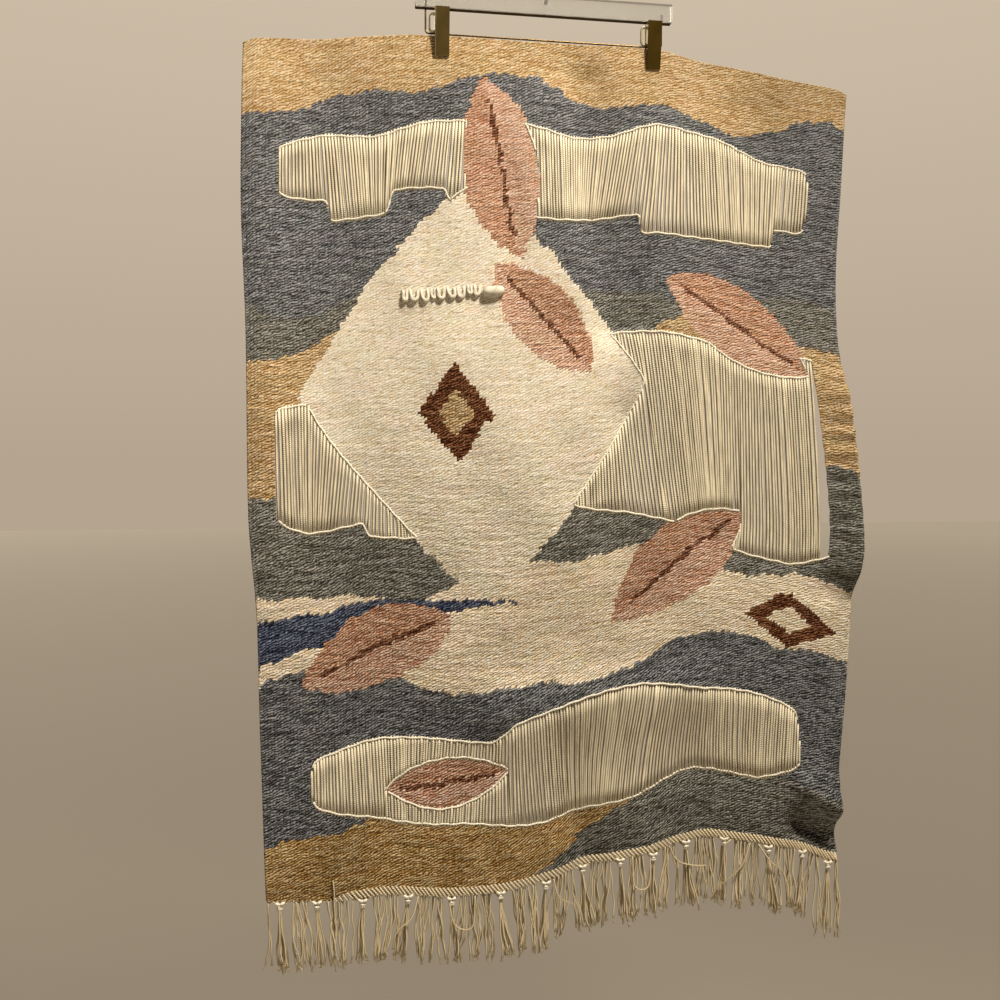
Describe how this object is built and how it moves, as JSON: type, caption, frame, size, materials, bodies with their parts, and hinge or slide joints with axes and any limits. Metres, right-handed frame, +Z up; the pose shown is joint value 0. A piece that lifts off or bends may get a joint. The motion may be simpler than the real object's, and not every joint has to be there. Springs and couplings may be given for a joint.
{
  "type": "woven wool tapestry on a clip hanger",
  "caption": "Flatwoven wool wall hanging with open-warp windows, leaf and lozenge motifs, a twined lower edge and knotted fringe, held by sprung clips on a clear bar hanger.",
  "frame": {"origin": "the point inside the hook, at its highest, that rests on the rail or nail that holds the hanger up", "axes": "+Z up, +X along the hanger bar to the right of someone facing the cloth, and the cloth's face looks along -Y"},
  "size_m": [0.7429, 0.037, 1.2087],
  "materials": {
    "wool": "weft-faced wool in ochre, cream, pink, rust, blue-grey and slate",
    "pink_wool": "weft-faced dusty pink wool",
    "cotton_warp": "bare plied cotton warps",
    "cotton_fringe": "twined and knotted cotton",
    "clear_acrylic": "clear polished acrylic",
    "brass": "satin brass plate"
  },
  "bodies": {
    "root": {"woven_panel": "wool", "open_warps_upper_left": "cotton_warp", "open_warps_upper_right": "cotton_warp", "open_warps_left": "cotton_warp", "open_warps_right": "cotton_warp", "open_warps_low": "cotton_warp", "leaf_island": "pink_wool", "bottom_heading": "cotton_fringe", "fringe": "cotton_fringe", "loop_row": "cotton_fringe", "hanger_bar": "clear_acrylic", "hanger_hook": "brass", "clip_rod": "brass", "clip_left_front": "brass", "clip_left_back": "brass", "clip_left_spring": "brass", "clip_right_front": "brass", "clip_right_back": "brass", "clip_right_spring": "brass"}
  },
  "joints": []
}
